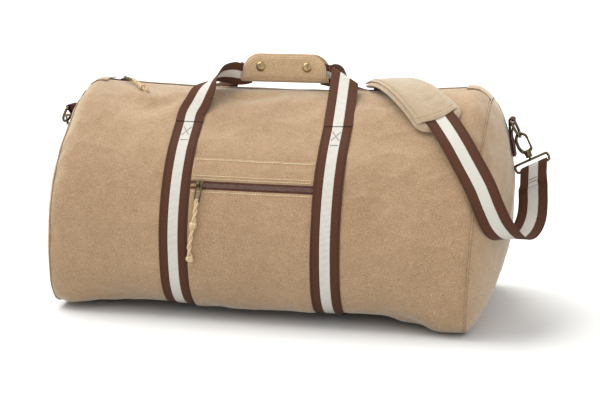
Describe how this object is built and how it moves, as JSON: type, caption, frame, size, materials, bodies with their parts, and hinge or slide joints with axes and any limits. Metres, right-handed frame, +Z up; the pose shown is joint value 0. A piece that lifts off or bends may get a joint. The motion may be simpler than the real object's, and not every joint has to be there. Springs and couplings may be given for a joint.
{
  "type": "duffel bag",
  "caption": "Barrel-shaped canvas holdall with zipped top, zipped front pocket, snap-wrapped carry handles and a padded clip-on shoulder strap.",
  "frame": {"origin": "middle of the whole length and depth, on the floor the bag stands on", "axes": "+X towards the right end as seen from the front, +Y towards the back, +Z up; the front pocket faces -Y"},
  "size_m": [0.6947, 0.3165, 0.3361],
  "materials": {
    "canvas": "matte tan cotton canvas",
    "canvas_light": "matte light tan cotton canvas",
    "webbing": "matte dark brown cotton webbing",
    "zip_tape": "matte brown woven tape",
    "zip_teeth": "brown plastic teeth, slight sheen",
    "brass": "aged antique brass",
    "cotton_cord": "matte light cotton cord",
    "cotton_lining": "matte plain-weave lining",
    "stiff_board": "dull stiffening board"
  },
  "bodies": {
    "bag": {"front_panel": "canvas", "back_panel": "canvas", "base_panel": "canvas", "end_panel_right": "canvas", "end_panel_left": "canvas", "lining": "cotton_lining", "base_board": "stiff_board", "main_zip_tape_front": "zip_tape", "main_zip_tape_back": "zip_tape", "main_zip_chain": "zip_teeth", "zip_end_tab_left": "canvas", "zip_end_tab_right": "canvas", "pocket_facing": "canvas", "pocket_panel": "canvas", "pocket_zip_tape_upper": "zip_tape", "pocket_zip_tape_lower": "zip_tape", "pocket_zip_chain": "zip_teeth", "pocket_lining": "cotton_lining", "strap_left": "webbing", "strap_right": "webbing", "handle_front_leg_left": "webbing", "handle_front_leg_right": "webbing", "handle_back_leg_left": "webbing", "handle_back_leg_right": "webbing", "shoulder_strap": "webbing", "shoulder_pad_base": "canvas_light", "shoulder_pad_sleeve": "canvas_light", "strap_adjuster": "brass", "ring_tab_right": "webbing", "ring_tab_left": "webbing"},
    "main_slider": {"main_zip_slider": "brass"},
    "main_pull": {"main_zip_pull": "brass", "main_zip_cord": "cotton_cord"},
    "pocket_slider": {"pocket_zip_slider": "brass"},
    "pocket_pull": {"pocket_zip_pull": "brass", "pocket_zip_cord": "cotton_cord"},
    "handles": {"handle_front_run": "webbing", "handle_back_run": "webbing", "grip_wrap": "canvas", "snap_stud_left": "brass", "snap_stud_right": "brass"},
    "flap": {"grip_flap": "canvas_light", "snap_cap_left": "brass", "snap_cap_right": "brass"},
    "ring_right": {"d_ring_right": "brass"},
    "clip_right": {"snap_hook_right": "brass"},
    "gate_right": {"snap_gate_right": "brass"},
    "loop_right": {"strap_loop_right": "brass", "strap_end_right": "webbing"},
    "ring_left": {"d_ring_left": "brass"},
    "clip_left": {"snap_hook_left": "brass"},
    "gate_left": {"snap_gate_left": "brass"},
    "loop_left": {"strap_loop_left": "brass", "strap_end_left": "webbing"}
  },
  "joints": [
    {"name": "main_zip_run", "type": "hinge", "parent": "bag", "child": "main_slider", "pos_m": [-0.017, 0, 3.59425], "axis": [0, -1, 0], "range_deg": [0, 4.8], "deforming": ["main_zip_chain"]},
    {"name": "main_pull_lift", "type": "hinge", "parent": "main_slider", "child": "main_pull", "pos_m": [-0.237, 0, 0.29827], "axis": [0.682, 0.7314, 0], "range_deg": [-90, 0], "deforming": ["main_zip_cord"]},
    {"name": "pocket_zip_run", "type": "slide", "parent": "bag", "child": "pocket_slider", "axis": [1, 0, 0], "range_m": [0, 0.13], "deforming": ["pocket_zip_chain"]},
    {"name": "pocket_pull_lift", "type": "hinge", "parent": "pocket_slider", "child": "pocket_pull", "pos_m": [-0.08399, -0.13878, 0.17921], "axis": [-0.9977, 0.0254, 0.0627], "range_deg": [0, 80], "deforming": ["pocket_zip_cord"]},
    {"name": "handle_sway", "type": "hinge", "parent": "bag", "child": "handles", "pos_m": [0, 0, 0.277], "axis": [1, 0, 0], "range_deg": [-12, 12], "deforming": ["handle_front_leg_left", "handle_front_leg_right", "handle_back_leg_left", "handle_back_leg_right"]},
    {"name": "flap_open", "type": "hinge", "parent": "handles", "child": "flap", "pos_m": [-0.007, -0.0066, 0.301], "axis": [1, 0, 0], "range_deg": [0, 110]},
    {"name": "ring_right_swing", "type": "hinge", "parent": "bag", "child": "ring_right", "pos_m": [0.296, 0, 0.256], "axis": [0, -1, 0], "range_deg": [0, 25], "deforming": ["shoulder_strap"]},
    {"name": "clip_right_swing", "type": "hinge", "parent": "ring_right", "child": "clip_right", "pos_m": [0.30727, 0, 0.23481], "axis": [0.0022, -1, -0.0042], "range_deg": [0, 12]},
    {"name": "loop_right_swivel", "type": "hinge", "parent": "clip_right", "child": "loop_right", "pos_m": [0.31185, -0.00163, 0.22584], "axis": [0.4494, -0.1598, -0.8789], "range_deg": [-15, 15]},
    {"name": "gate_right_open", "type": "hinge", "parent": "clip_right", "child": "gate_right", "pos_m": [0.32168, -0.00284, 0.22244], "axis": [-0.0727, -0.9871, 0.1423], "range_deg": [0, 18], "stiffness_Nm_per_rad": 0.02},
    {"name": "ring_left_swing", "type": "hinge", "parent": "bag", "child": "ring_left", "pos_m": [-0.318, 0, 0.256], "axis": [0, 1, 0], "range_deg": [0, 25], "deforming": ["shoulder_strap"]},
    {"name": "clip_left_swing", "type": "hinge", "parent": "ring_left", "child": "clip_left", "pos_m": [-0.32707, 0.01202, 0.23895], "axis": [0.3235, 0.7248, 0.6083], "range_deg": [0, 12]},
    {"name": "loop_left_swivel", "type": "hinge", "parent": "clip_left", "child": "loop_left", "pos_m": [-0.32951, 0.019, 0.23192], "axis": [-0.239, 0.6846, -0.6886], "range_deg": [-15, 15]},
    {"name": "gate_left_open", "type": "hinge", "parent": "clip_left", "child": "gate_left", "pos_m": [-0.33791, 0.02476, 0.22953], "axis": [0.3235, 0.7248, 0.6083], "range_deg": [0, 18], "stiffness_Nm_per_rad": 0.02}
  ]
}
